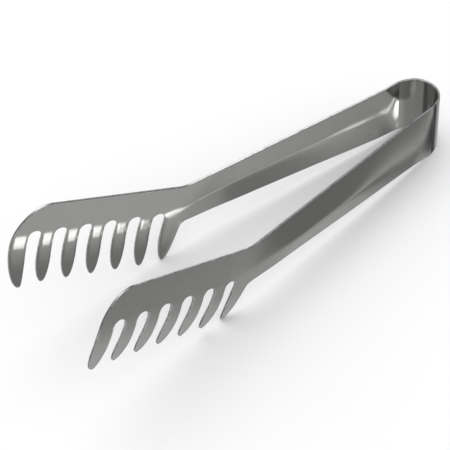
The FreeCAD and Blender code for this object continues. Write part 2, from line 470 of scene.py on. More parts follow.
@dataclass(frozen=True)
class ArmShape:
    """The whole shape of one arm, as a map from its flat blank to the formed sheet.

    The blank lies in the palm's plane: X along the comb's upper edge from the neck's upper corner,
    Y down its depth. The handle's blank runs back from the neck at the comb's rise.

    Attributes:
        bow: The bow that the arm grows from.
        channel: The channel pressed along the handle.
        comb: The comb at its end.
        handle_length: From the bow to the upper corner of the neck.
        neck_drop: Of that corner, below the bow's upper edge.
        neck_width: Height of the neck, from corner to corner.
        neck_slant: Of the neck's lower corner, further along the handle.
        neck_blend: Length of the handle that bends gently into the palm's plane.
        neck_cut: Length taken off each side of the neck's upper corner to round it.
        tip_cut: The same at the point of the tine at the comb's end.
        foot_cut: The same at the neck's lower corner.
    """

    bow: Bow = field(default_factory=Bow)
    channel: Channel = field(default_factory=Channel)
    comb: Comb = field(default_factory=Comb)
    handle_length: float = 110.0
    neck_drop: float = 3.9
    neck_width: float = 19.5
    neck_slant: float = 4.1
    neck_blend: float = 34.0
    neck_cut: float = 2.5
    tip_cut: float = 0.9
    foot_cut: float = 2.6

    @property
    def palm_turn(self) -> np.ndarray:
        """The comb's axes in the arm's frame, as a rotation matrix."""
        upright = turn("Y", -self.comb.rise) @ turn("X", -90.0)
        return upright @ turn("Y", -self.comb.toe_in) @ turn("X", -self.comb.flare)

    @property
    def neck_top(self) -> np.ndarray:
        """The neck's upper corner in the arm's frame."""
        return np.array([self.handle_length, 0.0, self.bow.width - self.neck_drop])

    def in_blank(self, along: np.ndarray | float, up: np.ndarray | float) -> np.ndarray:
        """Where a place that is given by the handle's directions lies in the blank.

        Args:
            along: Length along the handle, past the neck's upper corner.
            up: Height above that corner.

        Returns:
            The two coordinates in the blank.
        """
        rise = math.radians(self.comb.rise)
        cosine, sine = math.cos(rise), math.sin(rise)
        return np.array([along * cosine + up * sine, along * sine - up * cosine])

    @property
    def foot(self) -> np.ndarray:
        """The neck's lower corner in the blank."""
        return self.in_blank(self.neck_slant, -self.neck_width)

    @property
    def bow_top(self) -> np.ndarray:
        """The upper end of the crease at the bow, in the blank."""
        return self.in_blank(-self.handle_length, self.neck_drop)

    @property
    def bow_bottom(self) -> np.ndarray:
        """The lower end of that crease, in the blank."""
        return self.in_blank(-self.handle_length, self.neck_drop - self.bow.width)

    # ---- the two ways to name a place on the handle

    def handle_shares(self, blank: np.ndarray) -> tuple[np.ndarray, np.ndarray]:
        """Shares of the way from bow to neck and from the upper to the lower edge.

        Args:
            blank: Points in the blank.

        Returns:
            The two shares of each point, found by Newton's method.
        """
        edge, foot = self.bow_bottom - self.bow_top, self.foot
        along = 1.0 + blank[:, 0] / self.handle_length
        down = np.full(len(blank), 0.5)
        for _ in range(NEWTON_STEPS):
            start = self.bow_top + down[:, None] * edge
            end = down[:, None] * foot
            error = start + along[:, None] * (end - start) - blank
            by_along = end - start
            by_down = edge + along[:, None] * (foot - edge)
            area = by_along[:, 0] * by_down[:, 1] - by_along[:, 1] * by_down[:, 0]
            along = along - (error[:, 0] * by_down[:, 1] - error[:, 1] * by_down[:, 0]) / area
            down = down - (by_along[:, 0] * error[:, 1] - by_along[:, 1] * error[:, 0]) / area
        return along, down

    def fold_shares(self, blank: np.ndarray) -> tuple[np.ndarray, np.ndarray]:
        """Where points lie by the fold of the channel.

        Args:
            blank: Points in the blank.

        Returns:
            Their lengths along the fold from the bow, and their distances below the fold.
        """
        start = mixed(self.bow_top, self.bow_bottom, self.channel.fold_at_bow)
        direction = unit(self.foot * self.channel.fold_at_neck - start)
        offset = blank - start
        below = offset[:, 1] * direction[0] - offset[:, 0] * direction[1]
        return offset @ direction, below

    # ---- how far inwards the sheet is pressed

    def channel_relief(self, blank: np.ndarray) -> np.ndarray:
        """How far inwards the handle, its fold and the heel tine are pressed.

        Args:
            blank: Points in the blank.

        Returns:
            The distance at each point.
        """
        channel, bow = self.channel, self.bow
        along, below = self.fold_shares(blank)
        at_foot, below_foot = (v[0] for v in self.fold_shares(self.foot[None, :]))
        at_neck, below_neck = (v[0] for v in self.fold_shares(np.zeros((1, 2))))

        def by_foot(lengths: tuple[float, float]) -> np.ndarray:
            """A smooth step between two lengths past the neck's lower corner."""
            return ease(along, at_foot + lengths[0], at_foot + lengths[1])

        share = np.clip(along / at_foot, 0.0, 1.0)
        above_width = mixed(bow.width * channel.fold_at_bow, -below_neck, along / at_neck)
        below_width = mixed(bow.width * (1.0 - channel.fold_at_bow), below_foot, along / at_foot)
        rise = np.sin(np.clip(along / channel.rise, -1.0, 1.0) * math.pi / 2.0)
        full = rise * (1.0 - ease(along, *channel.fade))
        fold = -channel.depth * full
        lower_lip = rise * mixed(channel.lip, channel.heel_lip, share)
        above_slope = (channel.lip * full - fold) / np.maximum(above_width, channel.least_width)
        handle_slope = (lower_lip - fold) / np.maximum(below_width, channel.least_width)
        below_slope = mixed(handle_slope, channel.heel_slope, by_foot(channel.heel_blend))
        near_bow, middle, near_slots = channel.softness
        softness = mixed(near_bow, middle, ease(along, *channel.soft_until))
        softness = mixed(softness, near_slots, by_foot(channel.slot_blend))
        curl = channel.heel_curl * soft_ramp(below - channel.heel_flat, channel.heel_softness) ** 2
        return (
            fold
            + above_slope * soft_ramp(-below, softness)
            + below_slope * soft_ramp(below, softness)
            + curl * by_foot(channel.heel_curl_blend)
        )

    def flare_relief(self, along: np.ndarray, down: np.ndarray) -> np.ndarray:
        """How far outwards the handle flares just after the crease at the bow.

        Args:
            along: Shares of the way from bow to neck.
            down: Shares of the way from the upper to the lower edge.

        Returns:
            The distance at each place.
        """
        length = mixed(*self.channel.flare_length, np.clip(down, 0.0, 1.0))
        past = np.clip(along * self.handle_length, 0.0, length)
        return self.channel.flare * past * (1.0 - past / length) ** 2

    def rim_fall(self, blank: np.ndarray) -> np.ndarray:
        """How far outwards the sheet falls away at the rim of the tines.

        Args:
            blank: Points in the blank.

        Returns:
            The distance at each point.
        """
        comb = self.comb
        reach = (blank[:, 1] > comb.slot_top - comb.edge_lead) & (blank[:, 0] > self.foot[0])
        fall = np.zeros(len(blank))
        if reach.any():
            distance = distance_to(blank[reach], self.outline())
            starts, full = (comb.slot_top + past for past in comb.edge_blend)
            depth = ease(blank[reach][:, 1], starts, full)
            nearness = np.clip(1.0 - distance / comb.edge_band, 0.0, 1.0)
            fall[reach] = comb.edge_roll * depth * nearness**2
        return fall

    def relief(self, blank: np.ndarray) -> np.ndarray:
        """How far inwards the sheet is pressed.

        Args:
            blank: Points in the blank.

        Returns:
            The distance at each point.
        """
        comb = self.comb
        near, far = comb.first_slot - comb.slot_width / 2.0, comb.first_slot + comb.slot_width / 2.0
        past_slot = ease(blank[:, 0], near, far)
        pressed = mixed(self.channel_relief(blank), comb.curl(blank[:, 1]), past_slot)
        return pressed - self.rim_fall(blank)

    # ---- the formed sheet

    def formed(self, blank: np.ndarray) -> np.ndarray:
        """The middle of the sheet in the strip's frame at points of the blank.

        Args:
            blank: Points in the blank.

        Returns:
            The same points after forming.
        """
        palm = self.palm_turn
        flat = np.column_stack([blank, np.zeros(len(blank))]) @ palm.T + self.neck_top
        along, down = self.handle_shares(blank)
        foot = palm @ np.array([*self.foot, 0.0])
        start = np.column_stack([0 * down, 0 * down, self.bow.width * (1.0 - down)])
        end = self.neck_top + down[:, None] * foot
        blank_way = down[:, None] * self.foot - (
            self.bow_top + down[:, None] * (self.bow_bottom - self.bow_top)
        )
        length = np.linalg.norm(blank_way, axis=1, keepdims=True)
        palm_way = np.column_stack([blank_way / length, 0 * down]) @ palm.T
        misfit = palm_way - (end - start) / length
        before = np.clip((1.0 - along)[:, None] * length, 0.0, self.neck_blend)
        bend = misfit * before * (1.0 - before / self.neck_blend) ** 2
        on_handle = start + along[:, None] * (end - start) - bend
        handle = (along < 1.0)[:, None]
        base = np.where(handle, on_handle, flat)
        palm_inwards = palm @ np.array([0.0, 0.0, 1.0])
        inwards = mixed(np.array([0.0, 1.0, 0.0]), palm_inwards, ease(along, 0.0, 1.0)[:, None])
        relief = self.relief(blank) - self.flare_relief(along, down)
        pressed = base + relief[:, None] * unit(inwards)
        arm = turn("Z", 180.0 - self.bow.splay)
        return pressed @ arm.T + self.bow.point(self.bow.end, 0.0)

    def normals(self, blank: np.ndarray) -> np.ndarray:
        """Directions square to the formed sheet, towards the other arm.

        Args:
            blank: Points in the blank.

        Returns:
            The direction at each point.
        """
        x, y = np.array([PROBE, 0.0]), np.array([0.0, PROBE])
        by_x = self.formed(blank + x) - self.formed(blank - x)
        by_y = self.formed(blank + y) - self.formed(blank - y)
        return unit(np.cross(by_x, by_y))

    # ---- outlines of the blank

    def tine_points(self) -> list[tuple[float, float]]:
        """Where the tines end.

        Returns:
            The point of each tine, from the comb's end to the neck.
        """
        comb = self.comb
        middle = [
            (comb.first_slot + comb.pitch * (place + 0.5), comb.reach)
            for place in reversed(range(comb.slots - 1))
        ]
        end = (comb.last_slot + comb.slot_mouth / 2.0 + comb.end_inset, comb.end_reach)
        heel = (comb.first_slot - comb.slot_mouth / 2.0 - comb.heel_inset, comb.heel_reach)
        return [end, *middle, heel]

    def slot_outline(
        self, centre: float, far: tuple[float, float], near: tuple[float, float]
    ) -> list[np.ndarray]:
        """The outline from the point of one tine up round a slot and down to the next.

        Args:
            centre: Length from the neck to the slot's middle.
            far: The point of the tine further from the neck.
            near: The point of the tine nearer to it.

        Returns:
            The stretches of the outline in order.
        """
        comb = self.comb
        far_mouth, near_mouth = centre + comb.slot_mouth / 2.0, centre - comb.slot_mouth / 2.0
        radius = comb.slot_width / 2.0
        root = comb.slot_top + radius
        far_shoulder = (far_mouth, far[1] - comb.tip_round)
        near_shoulder = (near_mouth, near[1] - comb.tip_round)
        far_root, near_root, top = (centre + radius, root), (centre - radius, root), (centre, comb.slot_top)
        return [
            quarter(far, (far_mouth, far[1]), far_shoulder),
            straight(far_shoulder, far_root),
            quarter(far_root, (centre + radius, comb.slot_top), top, SLOT_STEPS),
            quarter(top, (centre - radius, comb.slot_top), near_root, SLOT_STEPS),
            straight(near_root, near_shoulder),
            quarter(near_shoulder, (near_mouth, near[1]), near),
        ]

    def outline(self) -> np.ndarray:
        """The arm's outline in the blank.

        Returns:
            Its points from the top of the crease at the bow, round the comb, to the crease's bottom.
        """
        comb, points = self.comb, self.tine_points()
        neck, foot = (0.0, 0.0), self.foot
        edge_end, widest = (comb.length - comb.end_round, 0.0), (comb.length, comb.end_widest)
        stretches = [
            straight(self.bow_top, neck),
            straight(neck, edge_end),
            quarter(edge_end, (comb.length, 0.0), widest, END_STEPS),
            quarter(widest, (comb.length, comb.end_reach), points[0], END_STEPS),
        ]
        for number in range(comb.slots):
            centre = comb.last_slot - comb.pitch * number
            stretches += self.slot_outline(centre, points[number], points[number + 1])
        stretches += [
            quarter(points[-1], (foot[0] + comb.heel_lean, comb.heel_reach), foot, HEEL_STEPS),
            straight(foot, self.bow_bottom),
            self.bow_bottom,
        ]
        line = np.vstack(stretches)
        for corner, cut in ((neck, self.neck_cut), (points[0], self.tip_cut), (foot, self.foot_cut)):
            line = blunted(line, corner, cut)
        return line


def distance_to(points: np.ndarray, line: np.ndarray) -> np.ndarray:
    """How far points lie from a line through many points.

    Args:
        points: Places in the plane.
        line: Points of the line in order.

    Returns:
        The distance from each place to the nearest place of the line.
    """
    start, way = line[:-1], np.diff(line, axis=0)
    length = np.maximum((way**2).sum(1), TINY)
    nearest = np.empty(len(points))
    for low in range(0, len(points), BLOCK):
        part = points[low : low + BLOCK, None, :] - start
        share = np.clip((part * way).sum(2) / length, 0.0, 1.0)
        nearest[low : low + BLOCK] = np.linalg.norm(part - share[..., None] * way, axis=2).min(1)
    return nearest


def inside(points: np.ndarray, loop: np.ndarray) -> np.ndarray:
    """Which points lie inside a closed outline.

    Args:
        points: Places in the plane.
        loop: Points of the outline in order.

    Returns:
        True for each place inside.
    """
    within = np.zeros(len(points), bool)
    for start, end in zip(loop, np.roll(loop, -1, axis=0)):
        spans = (start[1] > points[:, 1]) != (end[1] > points[:, 1])
        if spans.any():
            share = (points[spans, 1] - start[1]) / (end[1] - start[1])
            within[spans] ^= points[spans, 0] < start[0] + share * (end[0] - start[0])
    return within


# --------------------------------------------------------------------------- from a flat pattern to a mesh


@dataclass
class Pattern:
    """A patch of the middle of the sheet, ready to be given its thickness.

    Attributes:
        points: The patch's vertices.
        depths: The direction in which each is thickened, inwards.
        normals: The sheet's normal at each, inwards.
        faces: Vertices of each face, counter-clockwise seen from inside.
        blank: Where each vertex lies in the flat blank.
        edge: Its distance from the nearest sheared edge.
        edges: Runs of vertices along free edges, in that same sense.
        outwards: For each run, the direction out of the sheet at each of its vertices.
        ends: Runs of vertices along ends that meet another piece.
    """

    points: np.ndarray
    depths: np.ndarray
    normals: np.ndarray
    faces: list[list[int]]
    blank: np.ndarray
    edge: np.ndarray
    edges: list[list[int]]
    outwards: list[np.ndarray]
    ends: list[list[int]]


class SheetMesh:
    """Turns a pattern into a closed mesh with rounded edges and exact normals."""

    def __init__(self, pattern: Pattern, sheet: Sheet) -> None:
        """Works out every vertex, face and normal.

        Args:
            pattern: The patch to be thickened.
            sheet: The sheet it is cut from.
        """
        self.pattern = pattern
        self.profile = sheet.profile()
        self.count = len(pattern.points)
        half = pattern.depths * sheet.thickness / 2.0
        self.vertices = [pattern.points - half, pattern.points + half]
        self.vertex_normals = [-pattern.normals, pattern.normals]
        self.blank = [self.in_sheet(pattern.blank, face) for face in (-0.5, 0.5)]
        self.edge = [pattern.edge, pattern.edge]
        self.total = 2 * self.count
        self.faces: list[list[int]] = []
        self.flat_faces: list[list[int]] = []
        self.polished = 2 * len(pattern.faces)
        self.add_sides()
        rings = [self.add_rim(run, out) for run, out in zip(pattern.edges, pattern.outwards)]
        self.add_ends(rings)

    @staticmethod
    def in_sheet(blank: np.ndarray, depth: float) -> np.ndarray:
        """Places in the flat blank, with their depth in the sheet as a third part."""
        return np.column_stack([blank, np.full(len(blank), depth)])

    def add_sides(self) -> None:
        """Adds the outer and the inner face of the sheet."""
        for face in self.pattern.faces:
            self.faces.append(list(reversed(face)))
            self.faces.append([v + self.count for v in face])

    def add_rim(self, run: list[int], outwards: np.ndarray) -> list[list[int]]:
        """Adds the rounded edge along a free edge.

        Args:
            run: Vertices of the pattern along the edge.
            outwards: The direction out of the sheet at each of them.

        Returns:
            For each of them, the mesh vertices from the outer face round to the inner one.
        """
        centre, depth = self.pattern.points[run], self.pattern.depths[run]
        rings = [list(run)]
        for out, into, normal_out, normal_into in self.profile[1:-1]:
            self.vertices.append(centre + outwards * out + depth * into)
            self.vertex_normals.append(outwards * normal_out + depth * normal_into)
            self.blank.append(self.in_sheet(self.pattern.blank[run], into))
            self.edge.append(np.zeros(len(run)))
            rings.append(list(range(self.total, self.total + len(run))))
            self.total += len(run)
        rings.append([v + self.count for v in run])
        for lower, upper in zip(rings, rings[1:]):
            for i in range(len(run) - 1):
                self.faces.append([lower[i], lower[i + 1], upper[i + 1], upper[i]])
        return [list(column) for column in zip(*rings)]

    def add_ends(self, rims: list[list[list[int]]]) -> None:
        """Closes the ends that meet another piece.

        Args:
            rims: What add_rim gave for each free edge.
        """
        for run in self.pattern.ends:
            for a, b in zip(run, run[1:]):
                self.flat_faces.append([a, b, b + self.count, a + self.count])
            for rim in rims:
                if rim[0][0] == run[-1]:
                    self.flat_faces.append(rim[0])
                if rim[-1][0] == run[0]:
                    self.flat_faces.append(list(reversed(rim[-1])))

    def build(self, name: str, strip: StripFrame, side: Side) -> bpy.types.Object:
        """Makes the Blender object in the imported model's frame.

        Args:
            name: Of the piece.
            strip: The strip's frame.
            side: Which arm it belongs to. The left arm is the mirror image of the right one.

        Returns:
            The object, linked to the scene.
        """
        points = strip.place(np.vstack(self.vertices), side)
        normals = strip.turned(unit(np.vstack(self.vertex_normals)), side)
        faces = self.faces + self.flat_faces
        if side is Side.LEFT:
            faces = [list(reversed(face)) for face in faces]
        mesh = bpy.data.meshes.new(name)
        mesh.from_pydata(points.tolist(), [], faces)
        mesh.polygons.foreach_set("use_smooth", [True] * len(faces))
        corners = np.empty(len(mesh.loops), np.int64)
        mesh.loops.foreach_get("vertex_index", corners)
        corner_normals = normals[corners]
        for polygon in mesh.polygons[len(self.faces) :]:
            corner_normals[polygon.loop_start : polygon.loop_start + polygon.loop_total] = polygon.normal
        mesh.normals_split_custom_set(corner_normals.tolist())
        finishes = [int(number >= self.polished) for number in range(len(faces))]
        mesh.polygons.foreach_set("material_index", finishes)
        blank = np.vstack(self.blank) * (1.0, side.value, 1.0)
        mesh.attributes.new(BLANK, "FLOAT_VECTOR", "POINT").data.foreach_set("vector", blank.ravel())
        mesh.attributes.new(EDGE, "FLOAT", "POINT").data.foreach_set("value", np.concatenate(self.edge))
        mesh.validate()
        piece = bpy.data.objects.new(name, mesh)
        bpy.context.scene.collection.objects.link(piece)
        return piece


def vertex_outwards(line: np.ndarray) -> np.ndarray:
    """Directions out of an outline, square to it.

    Args:
        line: Points of the outline, counter-clockwise.

    Returns:
        The direction at each of its points.
    """
    ahead = unit(np.vstack([line[1:] - line[:-1], line[-1:] - line[-2:-1]]))
    behind = np.vstack([ahead[:1], ahead[:-1]])
    way = unit(ahead + behind)
    return np.column_stack([way[:, 1], -way[:, 0]])


@dataclass
class Arm:
    """One arm: the handle, the palm and its seven tines, as one formed sheet.

    Attributes:
        side: Which arm.
        shape: The arm's shape.
        sheet: The sheet it is made of.
        pitch: Size of the mesh's faces along and across the handle.
        comb_pitch: Size of the mesh's faces in the comb.
        margin: Least distance between the regular grid and the outline.
        support: Distance of the row of points that follows the rim.
        neck_gap: Share of comb_pitch that stays free past the neck.
        rim_step: Length in which the forming is read across the rim.
        merge: Distance below which two points would be one.
    """

    side: Side
    shape: ArmShape = field(default_factory=ArmShape)
    sheet: Sheet = field(default_factory=Sheet)
    pitch: tuple[float, float] = (1.3, 0.6)
    comb_pitch: float = 0.8
    margin: float = 0.55
    support: float = 0.22
    neck_gap: float = 0.4
    rim_step: float = 0.05
    merge: float = 1e-5

    def crease(self) -> np.ndarray:
        """The crease at the bow.

        Returns:
            Points of it where the bow has its columns, from its lower to its upper end.
        """
        share = self.shape.bow.heights(self.sheet) / self.shape.bow.width
        bottom, top = self.shape.bow_bottom, self.shape.bow_top
        return bottom + share[:, None] * (top - bottom)

    def grid(self) -> np.ndarray:
        """The regular grid of the handle and of the comb.

        Returns:
            Its points in the blank, some of them outside the outline.
        """
        shape, comb = self.shape, self.shape.comb
        along_step, across_step = self.pitch
        rows = round(shape.handle_length / along_step)
        columns = round(shape.bow.width / across_step)
        along, down = np.meshgrid(np.arange(1, rows) / rows, np.arange(1, columns) / columns)
        along, down = along.ravel()[:, None], down.ravel()[:, None]
        start = shape.bow_top + down * (shape.bow_bottom - shape.bow_top)
        handle = start + along * (down * shape.foot - start)
        x, y = np.meshgrid(
            np.arange(shape.foot[0], comb.length, self.comb_pitch),
            np.arange(self.comb_pitch, comb.end_reach, self.comb_pitch),
        )
        comb_points = np.column_stack([x.ravel(), y.ravel()])
        free = self.neck_gap * self.comb_pitch / shape.handle_length
        past_neck = shape.handle_shares(comb_points)[0] > 1.0 + free
        return np.vstack([handle, comb_points[past_neck]])

    def pattern(self) -> Pattern:
        """Lays out the arm's mesh in its blank and forms it.

        Returns:
            The formed pattern.
        """
        shape, sheet = self.shape, self.sheet
        outline = shape.outline()
        outwards = vertex_outwards(outline)
        inset = outline - outwards * sheet.edge_radius
        crease = self.crease()
        inset[0], inset[-1] = crease[-1], crease[0]
        support = (outline - outwards * (sheet.edge_radius + self.support))[2:-2]
        loop = np.vstack([inset, crease[1:-1]])
        grid = self.grid()
        grid = grid[inside(grid, loop)]
        grid = grid[distance_to(grid, np.vstack([loop, loop[:1]])) > self.margin]
        points = np.vstack([loop, support, grid])
        ring = list(range(len(loop)))
        flat, _, faces, _, _, sources = geometry.delaunay_2d_cdt(
            [Vector(p) for p in points.tolist()], [], [ring], 0, self.merge, True
        )
        faces = [face for face, source in zip(faces, sources) if source]
        points = np.array([tuple(p) for p in flat])
        if len(points) != len(loop) + len(support) + len(grid):
            raise ValueError("the outline of the arm crosses itself or its grid")
        edge = distance_to(points, outline)
        faces = joined_pairs(points, faces)
        formed, normals = shape.formed(points), shape.normals(points)
        depths = normals.copy()
        end = [len(inset) - 1, *range(len(inset), len(loop)), 0]
        depths[end] = shape.bow.inwards(shape.bow.end)
        tangent = shape.formed(points[: len(inset)] + outwards * self.rim_step) - formed[: len(inset)]
        normal = depths[: len(inset)]
        tangent = unit(tangent - (tangent * normal).sum(1, keepdims=True) * normal)
        tangent[0], tangent[-1] = (0.0, 0.0, 1.0), (0.0, 0.0, -1.0)
        rim = list(range(len(inset)))
        return Pattern(formed, depths, normals, faces, points, edge, [rim], [tangent], [end])

    def build(self, strip: StripFrame) -> bpy.types.Object:
        """Makes the arm, which stands for all its CAD nodes and rides on its own body.

        Args:
            strip: The strip's frame.

        Returns:
            The arm's object.
        """
        name = f"{self.side.name.lower()}_arm_strip"
        piece = SheetMesh(self.pattern(), self.sheet).build(name, strip, self.side)
        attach(piece, self.side.body)
        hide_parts(*self.side.nodes)
        return piece


def joined_pairs(points: np.ndarray, triangles: list[list[int]]) -> list[list[int]]:
    """Joins triangles into quads where two of them make a good one.

    Args:
        points: Vertices in the plane.
        triangles: Vertices of each triangle, counter-clockwise.

    Returns:
        Vertices of each remaining face, counter-clockwise.
    """
    flat = bmesh.new()
    for x, y in points:
        flat.verts.new((x, y, 0.0))
    flat.verts.ensure_lookup_table()
    for triangle in triangles:
        flat.faces.new([flat.verts[v] for v in triangle])
    flat.verts.index_update()
    bmesh.ops.join_triangles(
        flat,
        faces=flat.faces[:],
        angle_face_threshold=QUAD_ANGLE,
        angle_shape_threshold=QUAD_ANGLE,
    )
    flat.verts.index_update()
    faces = [[v.index for v in face.verts] for face in flat.faces]
    flat.free()
    return faces


@dataclass
class BowHalf:
    """Half of the bow, from its crown to the crease at one handle.

    Attributes:
        side: Which half.
        shape: The shape of the arm that it grows into.
        sheet: The sheet it is made of.
    """

    side: Side
    shape: ArmShape = field(default_factory=ArmShape)
    sheet: Sheet = field(default_factory=Sheet)

    def blank(self, angle: np.ndarray, height: np.ndarray) -> np.ndarray:
        """Where points of the bow lie in the flat blank, back from the crease at the handle.

        Args:
            angle: Their angles from the crown, in degrees.
            height: Their heights.

        Returns:
            Their places in the blank.
        """
        bow, shape = self.shape.bow, self.shape
        back = shape.handle_length + bow.radius * np.radians(bow.end - angle)
        return shape.in_blank(-back, shape.neck_drop - bow.width + height).T

    def pattern(self) -> Pattern:
        """Lays out the half bow as a regular grid of rows and columns.

        Returns:
            The formed pattern.
        """
        bow, heights = self.shape.bow, self.shape.bow.heights(self.sheet)
        angles = np.linspace(0.0, bow.end, bow.rows + 1)
        angle, height = np.meshgrid(angles, heights, indexing="ij")
        angle, height = angle.ravel(), height.ravel()
        across = len(heights)

        def vertex(row: int, column: int) -> int:
            """The vertex of a row and a column."""
            return row * across + column

        faces = [
            [vertex(r, c), vertex(r, c + 1), vertex(r + 1, c + 1), vertex(r + 1, c)]
            for r in range(bow.rows)
            for c in range(bow.columns)
        ]
        inwards = bow.inwards(angle)
        top = [vertex(r, bow.columns) for r in range(bow.rows + 1)]
        bottom = [vertex(r, 0) for r in reversed(range(bow.rows + 1))]
        up = np.array([[0.0, 0.0, 1.0]] * len(top))
        crown = [vertex(0, c) for c in range(across)]
        crease = [vertex(bow.rows, c) for c in reversed(range(across))]
        blank, edge = self.blank(angle, height), np.minimum(height, bow.width - height)
        points, edges, ends = bow.point(angle, height), [top, bottom], [crown, crease]
        return Pattern(points, inwards, inwards, faces, blank, edge, edges, [up, -up], ends)

    def build(self, strip: StripFrame) -> bpy.types.Object:
        """Makes the half bow, from the bow's crown to the crease at the arm.

        Args:
            strip: The strip's frame.

        Returns:
            The half bow's object.
        """
        name = f"{self.side.name.lower()}_bow_half"
        piece = SheetMesh(self.pattern(), self.sheet).build(name, strip, self.side)
        bow = self.shape.bow
        half = bow.width / 2.0
        crown, crease = (
            strip.place(bow.point(degrees, half)[None, :], self.side)[0] for degrees in (0.0, bow.end)
        )
        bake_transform(piece)
        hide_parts("bow")
        return piece


# --------------------------------------------------------------------------- shader nodes


class Graph:
    """A node tree while it is being wired up."""

    def __init__(self, tree: bpy.types.NodeTree) -> None:
        """Keeps the tree."""
        self.tree = tree

    def feed(self, socket: bpy.types.NodeSocket, value: object) -> None:
        """Links a socket to an output, or gives it a plain value.

        Args:
            socket: The input to be fed.
            value: The output or the value.
        """
        if isinstance(value, bpy.types.NodeSocket):
            self.tree.links.new(value, socket)
        else:
            socket.default_value = value

    def node(self, kind: str, inputs: dict[str | int, object], **settings: object) -> bpy.types.Node:
        """Adds a node.

        Args:
            kind: The node's Blender type, without the word ShaderNode.
            inputs: An output or a plain value for each named or numbered input.
            settings: Properties of the node.

        Returns:
            The node.
        """
        node = self.tree.nodes.new(f"ShaderNode{kind}")
        for name, value in settings.items():
            setattr(node, name, value)
        for name, value in inputs.items():
            self.feed(node.inputs[name], value)
        return node

    def maths(self, operation: str, *values: object) -> bpy.types.NodeSocket:
        """The result of a Math node."""
        return self.node("Math", dict(enumerate(values)), operation=operation).outputs[0]

    def vector(self, operation: str, *values: object) -> bpy.types.NodeSocket:
        """The result of a Vector Math node."""
        node = self.node("VectorMath", dict(enumerate(values)), operation=operation)
        return node.outputs["Value" if operation == "DOT_PRODUCT" else "Vector"]

    def stepped(self, value: object, low: object, high: object) -> bpy.types.NodeSocket:
        """A smooth step from 0 at low to 1 at high, or down from 1 where high is the smaller."""
        inputs = {"Value": value, "From Min": low, "From Max": high}
        return self.node("MapRange", inputs, interpolation_type="SMOOTHSTEP").outputs["Result"]

    def noise(
        self, place: object, size: object, detail: float, roughness: float = 0.5
    ) -> bpy.types.NodeSocket:
        """Adds noise.

        Args:
            place: Where to read it.
            size: About how large its features are, in the units of place.
            detail: How many finer layers it has.
            roughness: How strong they are.

        Returns:
            The noise, from 0 to 1.
        """
        scale = self.maths("DIVIDE", 1.0, size)
        inputs = {"Vector": place, "Scale": scale, "Detail": detail, "Roughness": roughness}
        return self.node("TexNoise", inputs).outputs["Fac"]

    def mixed(self, share: object, first: object, second: object) -> bpy.types.NodeSocket:
        """Adds a colour between two others.

        Args:
            share: How far it is from the first to the second.
            first: The first colour.
            second: The second colour.

        Returns:
            The colour.
        """
        inputs = {MIX_SHARE: share, MIX_FIRST: first, MIX_SECOND: second}
        return self.node("Mix", inputs, data_type="RGBA").outputs[MIX_RESULT]


class Effect(Enum):
    """The effects that the finishes share, each built once as a node group."""

    SHEET_WAVES = "sheet_waves"
    POLISHING_LINES = "polishing_lines"
    HAIRLINES = "hairlines"
    HANDLING_FILM = "handling_film"
    EDGE_WEAR = "edge_wear"

    def group(self) -> bpy.types.NodeTree:
        """The effect's node group, made at its first use."""
        found = bpy.data.node_groups.get(self.value)
        return found if found else getattr(EffectMaker, self.value)()


